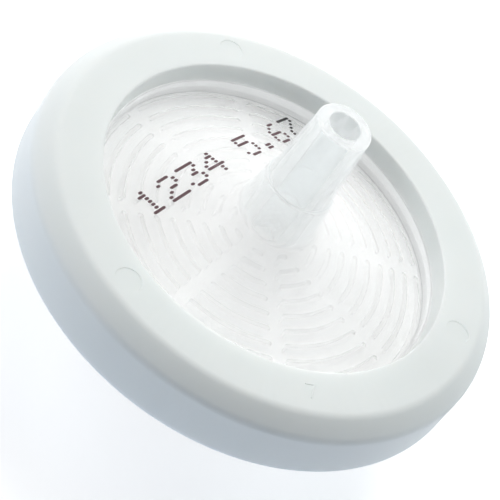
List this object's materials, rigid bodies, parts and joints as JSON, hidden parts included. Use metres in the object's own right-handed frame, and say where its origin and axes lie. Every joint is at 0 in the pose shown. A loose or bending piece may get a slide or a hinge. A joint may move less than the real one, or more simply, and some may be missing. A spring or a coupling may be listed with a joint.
{
  "type": "syringe filter",
  "caption": "Disc syringe filter: translucent ribbed housing in a white overmoulded ring, male nozzle outlet above, female luer lock inlet below.",
  "frame": {"origin": "centre of the inlet's open end face, which is the lowest face", "axes": "+Z along the common axis from the inlet to the outlet nozzle's tip; +X and +Y lie in the plane of the disc"},
  "size_m": [0.0358, 0.0358, 0.0242],
  "materials": {
    "ring_white": "satin moulded polypropylene, opaque white",
    "clear_polypropylene": "natural polypropylene, glossy and translucent",
    "membrane_white": "matt porous PTFE film",
    "print_ink": "dark inkjet ink"
  },
  "bodies": {
    "root": {"overmould_ring": "ring_white", "outlet_housing": "clear_polypropylene", "membrane": "membrane_white", "inlet_housing": "clear_polypropylene"}
  },
  "joints": []
}
